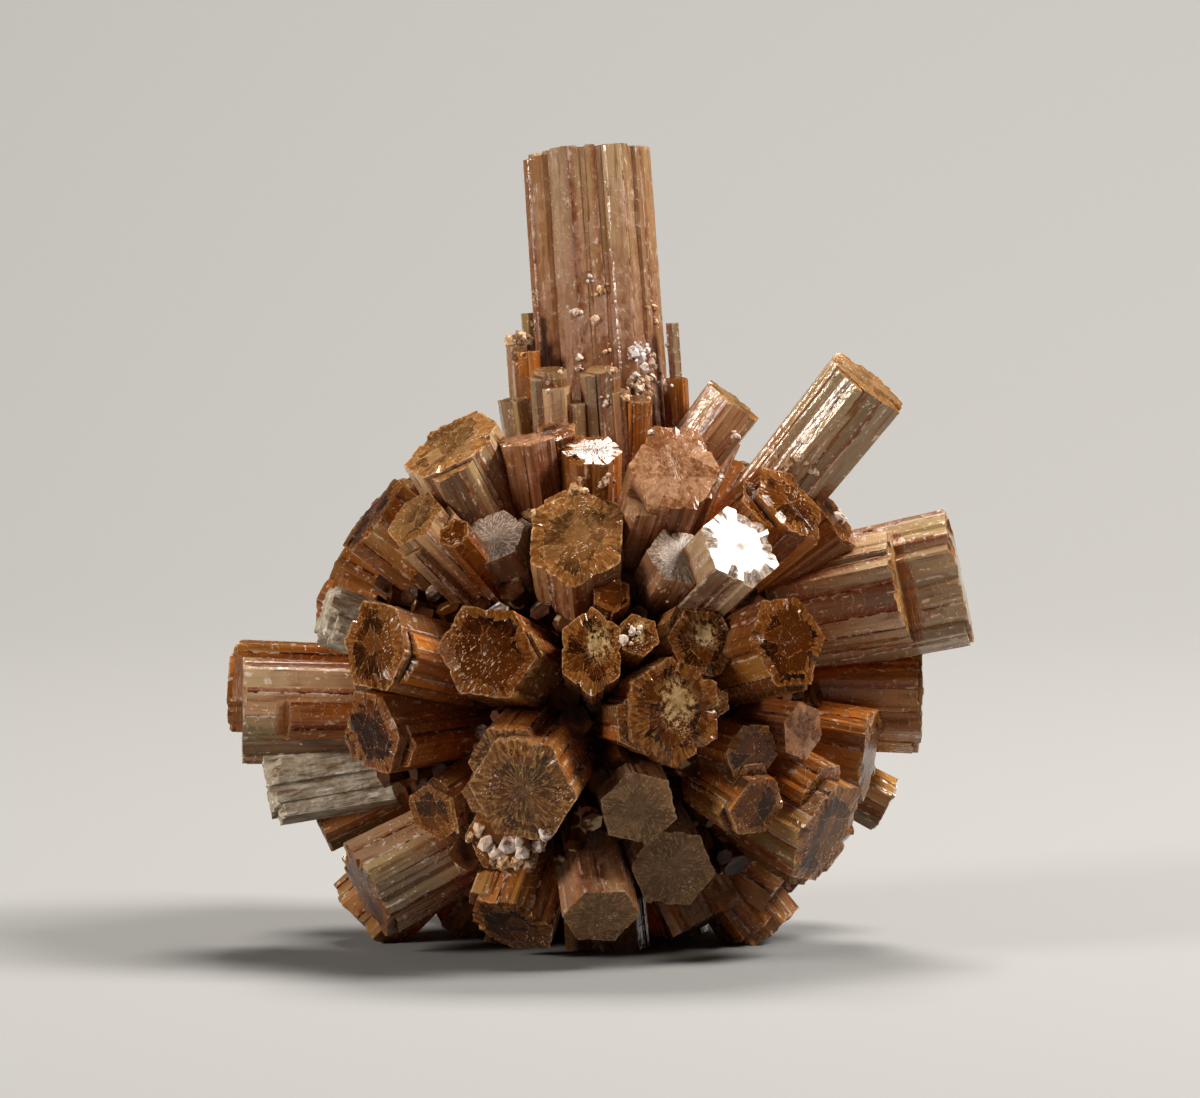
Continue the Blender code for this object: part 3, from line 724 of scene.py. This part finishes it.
# Prisms along the left side, from the lower left up to the shoulder: pale below, amber and olive further up,
# with a thin red one and a pinkish one between them.
LEFT_FAN = [
    Prism(230.2, 14, 22.6, 7.8, 0.95, 0, 12, look="lens",
          twins=(Twin(60, 0.24, 0.4, 0.55), Twin(200, 0.26, 0.7, 0.5))),
    Prism(225.9, -10, 24.0, 7.2, 1.0, 0, 0),
    Prism(244.6, 0, 22.4, 4.0, 1.0, 20, 0),
    Prism(252.0, -6, 25.0, 3.2, 1.0, 30, 0, look="red"),
    Prism(255.3, 5, 25.1, 5.2, 0.8, 0, 6, look="chalk"),
    Prism(268.4, 2, 26.1, 8.4, 0.95, 26, 2, look="pale",
          twins=(Twin(30, 0.24, 0.2, 0.55), Twin(190, 0.24, 0.35, 0.5))),
    Prism(271.9, -6, 27.1, 7.0, 0.9, 24, 0, twins=(Twin(0, 0.3, 0.5, 0.5), Twin(170, 0.3, 0.9, 0.5))),
    Prism(266.5, 13, 23.4, 3.4, 1.0, 30, 4),
    Prism(288.0, 14, 21.6, 5.0, 0.8, 10, 0, look="chalk"),
    Prism(310.2, 12, 21.9, 7.4, 0.95, 30, -2, twins=(Twin(80, 0.24, 0.3, 0.55), Twin(210, 0.24, 0.5, 0.5))),
    Prism(316.0, 35, 23.0, 5.0, 1.0, 0, 0, look="olive"),
    Prism(321.0, 48, 24.0, 2.6, 1.0, 20, 0, look="dark"),
    Prism(331.4, 25, 24.0, 8.6, 0.9, 15, 0, look="olive",
          twins=(Twin(70, 0.26, 0.5, 0.5), Twin(220, 0.24, 0.3, 0.6))),
    Prism(346.0, 30, 23.1, 4.4, 1.0, 30, 6, look="pink", tilt=-18),
    Prism(352.5, 27, 22.7, 3.2, 1.0, 0, 2),
]
left_bundle = grow_seen(LEFT_FAN, twin_chance)
grow_bundle("left_fan", [row for row in left_bundle if row.look != "chalk"], striated_sides, feathered_ends,
            steps_around=108, steps_along=10, rings_on_end=7)

# Two stubs on the left that have weathered to chalk: rough, dull, cream to grey, with rust in the hollows.
# They grow from the heart like their neighbours, with deeper striae and ragged ends.
chalk, tree, shader = new_finish("chalk")
x, y, z = carried(tree, "local", "Vector").parts()
cloud = noise(tree, vector(tree, x * 0.8, y * 0.8, z * 0.5), 1.0, 3.0)
crumb = noise(tree, vector(tree, x * 2.2, y * 2.2, z * 0.5), 1.0, 4.0, 0.6)
colour = mix(cloud.between(0.35, 0.65), (0.32, 0.250, 0.175, 1), (0.56, 0.500, 0.410, 1))
colour = mix(crumb.between(0.46, 0.36, 0.0, 0.7), colour, (0.17, 0.085, 0.035, 1))
colour = mix(crumb.between(0.58, 0.68), colour, (0.74, 0.69, 0.60, 1))
tree.links.new(colour.socket, shader.inputs["Base Color"])
tree.links.new(crumb.between(0.4, 0.7, 0.75, 0.35).socket, shader.inputs["Roughness"])
crumbs = add(tree, "ShaderNodeBump", {"Strength": 0.8, "Distance": 0.0004, "Height": crumb + cloud})
tree.links.new(crumbs.socket, shader.inputs["Normal"])
grow_bundle("chalky_stubs", [row for row in left_bundle if row.look == "chalk"], chalk, chalk,
            steps_around=108, steps_along=14, rings_on_end=9,
            striae_depth=0.5, ragged_end=2.2, end_relief=0.7)

# Prisms along the bottom, frosted, red and dark aragonite. Those that reach below the floor are cut flat, and
# the cluster rests on their flats.
LOWER_FAN = [
    Prism(154.0, 43, 18.7, 6.4, 1.0, 30, 0, twins=(), look="frosted", tilt=20),
    Prism(177.6, 45, 22.2, 5.9, 1.0, 30, -8, twins=(), look="frosted"),
    Prism(199.8, 27, 19.8, 7.2, 1.0, 30, 0, twins=(Twin(40, 0.3, 0.8, 0.5),)),
    Prism(152.2, 6, 18.7, 7.0, 1.0, 0, 0, look="red"),
    Prism(176.0, 2, 18.9, 6.2, 1.0, 15, 0, look="dark"),
]
grow_bundle("lower_fan", grow_seen(LOWER_FAN, twin_chance), striated_sides, feathered_ends,
            steps_around=120, steps_along=10, rings_on_end=9)

# The prisms that point at the viewer. Their brown ends carry plates, frames and feathers that run out from
# the middle, and a few are silvery, white or pink.
FRONT_ROSETTE = [
    Prism(0.0, 33, 22.2, 4.6, 1.0, 30, 0),
    Prism(19.5, 41, 24.3, 7.2, 0.95, 15, 0, look="pink", tilt=20,
          twins=(Twin(120, 0.36, 0.9, 0.45), Twin(250, 0.24, 0.3, 0.6))),
    Prism(355.0, 54, 20.9, 8.6, 0.92, 0, 0, look="olive", tilt=6,
          twins=(Twin(20, 0.34, 0.7, 0.4), Twin(320, 0.36, 1.0, 0.36))),
    Prism(329.2, 46, 20.4, 5.2, 1.0, 0, 0, twins=(Twin(330, 0.38, 1.2, 0.4),), look="silver"),
    Prism(43.3, 49, 24.2, 6.6, 1.0, 0, 0, twins=(), look="flower"),
    Prism(30.8, 54, 21.3, 5.0, 1.0, 15, 0, twins=(), look="silver"),
    Prism(10.6, 65, 19.2, 3.0, 1.0, 0, 0, look="dark"),
    Prism(60.9, 63, 20.3, 5.6, 1.0, 20, 0, look="cream",
          twins=(Twin(35, 0.3, 0.4, 0.55), Twin(330, 0.3, 0.6, 0.5))),
    Prism(72.7, 50, 23.5, 7.3, 1.0, 30, 0, twins=(Twin(200, 0.26, 0.9, 0.55),), look="dark"),
    Prism(0.0, 80, 22.0, 6.7, 0.74, 0, 0, twins=(), look="cream"),
    Prism(33.9, 74, 22.0, 3.3, 1.0, 10, 0, look="cream"),
    Prism(295.7, 68, 23.0, 7.6, 0.95, 30, 0, twins=(Twin(270, 0.28, 0.6, 0.5),), look="dark", tilt=9),
    Prism(284.9, 45, 23.4, 7.6, 0.85, 30, 0, twins=(Twin(250, 0.26, 0.8, 0.6),)),
    Prism(262.6, 45, 23.0, 6.9, 0.8, 30, 0, look="dark",
          twins=(Twin(240, 0.3, 1.0, 0.5), Twin(110, 0.3, 0.5, 0.5))),
    Prism(95.7, 74, 21.8, 8.2, 0.95, 0, 0, look="cream",
          twins=(Twin(280, 0.4, 0.5, 0.32), Twin(110, 0.25, 0.7, 0.6))),
    Prism(97.7, 42, 21.1, 4.6, 1.0, 10, 0, look="red"),
    Prism(107.6, 52, 20.1, 4.8, 1.0, 25, 0),
    Prism(218.2, 70, 23.6, 8.5, 0.95, 25, 0, look="feathered",
          twins=(Twin(40, 0.24, 1.3, 0.72), Twin(105, 0.42, 2.2, 0.42))),
    Prism(155.9, 65, 20.0, 6.1, 1.0, 15, 0, twins=(), look="frosted"),
    Prism(122.3, 47, 21.1, 5.0, 1.0, 30, 0),
    Prism(235.4, 47, 20.8, 4.6, 1.0, 0, 0),
    Prism(214.0, 52, 20.4, 5.8, 0.8, 20, 0),
]
grow_bundle("front_rosette", grow_seen(FRONT_ROSETTE, twin_chance), striated_sides, feathered_ends,
            steps_around=108, steps_along=9, rings_on_end=9)

# Long prisms on the far side, and the rest of the ball: prisms of the same habit spread evenly over it, each
# where the others leave room. They are grown further down, after the grains.
FAR_SIDE = [
    Prism(215.0, -52, 27.5, 7.2, 0.95, 10, 3),
    Prism(335.0, -58, 26.4, 6.4, 1.0, 30, -4),
    Prism(95.0, -46, 26.8, 8.0, 0.95, 0, 5),
    Prism(40.0, -38, 25.4, 6.2, 1.0, 20, 0),
    Prism(270.0, -40, 25.2, 7.0, 0.9, 30, -4),
]
far_bundle = grow_seen(FAR_SIDE, twin_chance)
back_chance = random.Random(5)
golden_turn = math.pi * (3 - math.sqrt(5))
back_bundles = [[], [], []]
BALL_SPOTS = 122


def spot_on_ball(spot, spots):
    """The way to one of many spots that lie evenly over a ball."""
    spot_height = 1 - 2 * (spot + 0.5) / spots
    ring = math.sqrt(1 - spot_height * spot_height)
    return Vector((ring * math.cos(golden_turn * spot), ring * math.sin(golden_turn * spot), spot_height))


for spot in range(BALL_SPOTS):
    out = spot_on_ball(spot, BALL_SPOTS)
    out = (out + Vector([back_chance.uniform(-0.07, 0.07) for _ in range(3)])).normalized()
    width = back_chance.uniform(5.2, 8.6)
    reach = back_chance.uniform(19.8, 22.2) + 2.2 * max(0, out.y)
    prism = Prism(0, 0, reach, width, flat=back_chance.uniform(0.86, 1.0), turn=back_chance.uniform(0, 60))
    if -out.y > 0.10:
        prism = prism._replace(reach=back_chance.uniform(16.2, 17.6), width=min(width, 6.4))
    room = min(out.angle(line) * prism.reach * MM - 0.40 * (prism.width * MM + near)
               for line, near in taken_lines)
    if room > 0:
        part = 0 if out.y < 0.1 else 1 if out.z > 0 else 2
        grow(prism, HEART + out * prism.reach * MM, out, twin_chance, back_bundles[part])
        taken_lines.append((out, prism.width * MM))

# Grains: short rough crystals that fill the gaps between the prisms, dark rusty amber with a few pale crumbs.
# None of them reaches as far out as the prisms do.
GRAIN_SPOTS = 900
GRAIN_LEVEL = 18.0    # how far out their room is measured, in mm
grain_chance = random.Random(31)
grain_bundle = []
for spot in range(GRAIN_SPOTS):
    out = spot_on_ball(spot, GRAIN_SPOTS)
    room = min(out.angle(line) * GRAIN_LEVEL * MM - 0.46 * near for line, near in taken_lines)
    reach = grain_chance.uniform(14.8, 18.2)
    width = grain_chance.uniform(0.9, 3.0)
    astray = Vector([grain_chance.uniform(-0.45, 0.45) for _ in range(3)])
    turn = grain_chance.uniform(0, 60)
    look = grain_chance.choice(("amber", "dark", "dark", "red", "gap"))
    if room > 0 and out.z > -0.75:
        grow(Prism(0, 0, reach, width, turn=turn, root=0.6, twins=(), look=look), HEART + out * reach * MM,
             (out + astray).normalized(), grain_chance, grain_bundle)
rusty_amber, tree, _ = new_finish("rusty_amber")
cloud = noise(tree, add(tree, "ShaderNodeTexCoord", output="Object"), 420.0, 3.0)
colour = mix(cloud.between(0.35, 0.65), (0.020, 0.004, 0.0005, 1), (0.13, 0.042, 0.008, 1))
colour = mix(cloud.between(0.62, 0.66), colour, (0.60, 0.44, 0.27, 1))
roughness = cloud.between(0.3, 0.7, 0.1, 0.5)
see_through(tree, colour, roughness, cloud, depth=0.0003, clear=0.2, bend=1.45)
grow_bundle("grains", grain_bundle, rusty_amber, rusty_amber, steps_around=12, steps_along=2,
            rings_on_end=1)

# The far side and the rest of the ball, grown along the lines found above. They are the same stone as the
# front, in fewer steps because they are only seen from other sides.
grow_bundle("far_fan", far_bundle, striated_sides, feathered_ends,
            steps_around=96, steps_along=10, rings_on_end=6)
for name, bundle in zip(("between_prisms", "upper_back", "lower_back"), back_bundles):
    grow_bundle(name, bundle, striated_sides, feathered_ends,
                steps_around=84, steps_along=8, rings_on_end=6)

# The heart: the solid dark mass inside, which the roots of all prisms run into. Only glimpses of it show in
# the deepest gaps.
HEART_RADIUS = 12.6 * MM
heart_mesh = bpy.data.meshes.new("heart")
heart_shape = bmesh.new()
bmesh.ops.create_icosphere(heart_shape, subdivisions=4, radius=HEART_RADIUS)
bmesh.ops.translate(heart_shape, verts=heart_shape.verts, vec=HEART)
heart_shape.to_mesh(heart_mesh)
heart_shape.free()
heart_mesh.shade_smooth()
heart = bpy.data.objects.new("heart", heart_mesh)
bpy.context.scene.collection.objects.link(heart)
dark_heart, tree, shader = new_finish("dark_heart")
cloud = noise(tree, add(tree, "ShaderNodeTexCoord", output="Object"), 700.0)
colour = mix(cloud, (0.012, 0.004, 0.002, 1), (0.10, 0.030, 0.010, 1))
tree.links.new(colour.socket, shader.inputs["Base Color"])
shader.inputs["Roughness"].default_value = 0.6
heart.data.materials.append(dark_heart)
fasten(heart)

# Druse: small angular grains, white, lavender or cream, that sit on the foot of the spire and under the large
# feathered end. Each is placed where it is seen, on the face behind it.
FRAME_WIDTH = 1200
FRAME_MIDDLE = (600, 549)
GRAINS_SEEN = [   # place in the picture, size in mm, and how warm its white is
    (590, 276, 0.55, 0.1), (602, 291, 0.8, 1.0), (576, 312, 0.7, 0.4), (595, 319, 0.9, 0.7),
    (654, 307, 0.7, 0.9), (656, 322, 0.5, 0.8), (580, 358, 0.9, 0.5), (578, 369, 0.6, 0.6),
    (605, 352, 0.6, 0.8), (634, 352, 1.0, 0.0), (640, 358, 1.4, 0.0), (646, 351, 0.9, 0.1),
    (651, 364, 1.1, 0.5), (643, 369, 1.0, 0.2), (636, 376, 0.9, 0.4), (645, 381, 1.1, 0.7),
    (653, 377, 0.8, 0.8), (639, 390, 1.0, 0.6), (630, 384, 0.7, 0.8), (666, 384, 1.0, 0.6),
    (626, 398, 0.8, 0.9), (649, 394, 0.9, 0.9), (560, 372, 0.5, 0.7), (612, 372, 0.5, 0.6),
    (548, 391, 0.6, 0.2), (606, 402, 0.6, 0.3), (520, 338, 1.2, 0.8), (510, 341, 1.1, 0.9),
    (529, 342, 1.0, 0.9), (516, 361, 0.8, 1.0), (535, 300, 0.5, 0.8), (531, 323, 0.6, 0.8),
    (668, 345, 0.5, 0.3), (666, 300, 0.4, 0.1), (661, 268, 0.4, 0.1), (478, 828, 1.4, 0.7),
    (486, 842, 1.6, 0.5), (497, 852, 1.5, 0.6), (510, 845, 1.7, 0.3), (523, 853, 1.5, 0.4),
    (537, 846, 1.4, 0.2), (545, 835, 1.2, 0.1), (517, 862, 1.3, 0.9), (503, 862, 1.2, 1.0),
    (531, 865, 1.2, 0.8), (470, 838, 1.2, 0.9), (574, 490, 1.3, 1.0), (527, 515, 1.2, 1.0),
    (581, 480, 0.9, 1.0), (606, 480, 1.0, 0.6), (737, 436, 0.7, 0.3), (651, 432, 0.6, 0.2),
    (624, 640, 0.9, 0.5), (632, 632, 0.8, 0.4), (640, 628, 0.7, 0.5), (664, 590, 0.6, 0.9),
    (772, 452, 0.9, 0.8), (790, 462, 1.0, 0.9), (812, 470, 0.9, 0.7), (838, 518, 1.3, 0.3),
]
carriers = bmesh.new()
for name in ("spire", "spire_foot", "front_rosette", "left_fan", "right_fan", "lower_fan"):
    carriers.from_mesh(bpy.data.objects[name].data)
carrier_faces = BVHTree.FromBMesh(carriers)
carriers.free()
druse_chance = random.Random(41)
druse_shape = bmesh.new()
warm_layer = druse_shape.verts.layers.float.new("warm")
view_ahead = Vector((0, math.cos(view_down), -math.sin(view_down)))
view_up = Vector((0, math.sin(view_down), math.cos(view_down)))
for across, down, size, warm in GRAINS_SEEN:
    for grain in range(5):
        astray_x = druse_chance.gauss(0, 4.0) * (grain > 0)
        astray_y = druse_chance.gauss(0, 4.0) * (grain > 0)
        seen_x = (across + astray_x - FRAME_MIDDLE[0]) / FRAME_WIDTH * VIEW_WIDTH
        seen_y = (FRAME_MIDDLE[1] - down - astray_y) / FRAME_WIDTH * VIEW_WIDTH
        ray = (view_ahead * VIEW_DISTANCE + Vector((seen_x, 0, 0)) + view_up * seen_y).normalized()
        hit, _, _, _ = carrier_faces.ray_cast(camera.location, ray)
        if hit is None:
            continue
        radius = size * MM * (druse_chance.uniform(0.12, 0.30) if grain else 0.42)
        made = bmesh.ops.create_icosphere(druse_shape, subdivisions=1, radius=radius)["verts"]
        stretch = Matrix.Diagonal([druse_chance.uniform(0.7, 1.3) for _ in range(3)])
        spin_turn = druse_chance.uniform(0, 6)
        spin_axis = Vector((1, druse_chance.random(), druse_chance.random()))
        spin = Matrix.Rotation(spin_turn, 3, spin_axis)
        for vert in made:
            lumpy = 1 + 0.40 * noise_at(vert.co / radius * 1.3 + hit * 900)
            vert.co = hit + spin @ stretch @ vert.co * lumpy
            vert[warm_layer] = warm
druse_mesh = bpy.data.meshes.new("druse")
druse_shape.to_mesh(druse_mesh)
druse_shape.free()
druse = bpy.data.objects.new("druse", druse_mesh)
bpy.context.scene.collection.objects.link(druse)
druse_white, tree, _ = new_finish("druse_white")
crumb = noise(tree, add(tree, "ShaderNodeTexCoord", output="Object"), 1500.0, 3.0)
colour = mix(carried(tree, "warm"), (0.78, 0.720, 0.720, 1), (0.70, 0.450, 0.240, 1))
colour = mix(crumb.between(0.5, 0.36), colour, (0.26, 0.130, 0.070, 1))
colour = mix(crumb.between(0.60, 0.68), colour, (0.92, 0.88, 0.84, 1))
roughness = crumb.between(0.4, 0.6, 0.15, 0.5)
see_through(tree, colour, roughness, crumb, depth=0.0002, clear=0.1, bend=1.5)
druse.data.materials.append(druse_white)
fasten(druse)
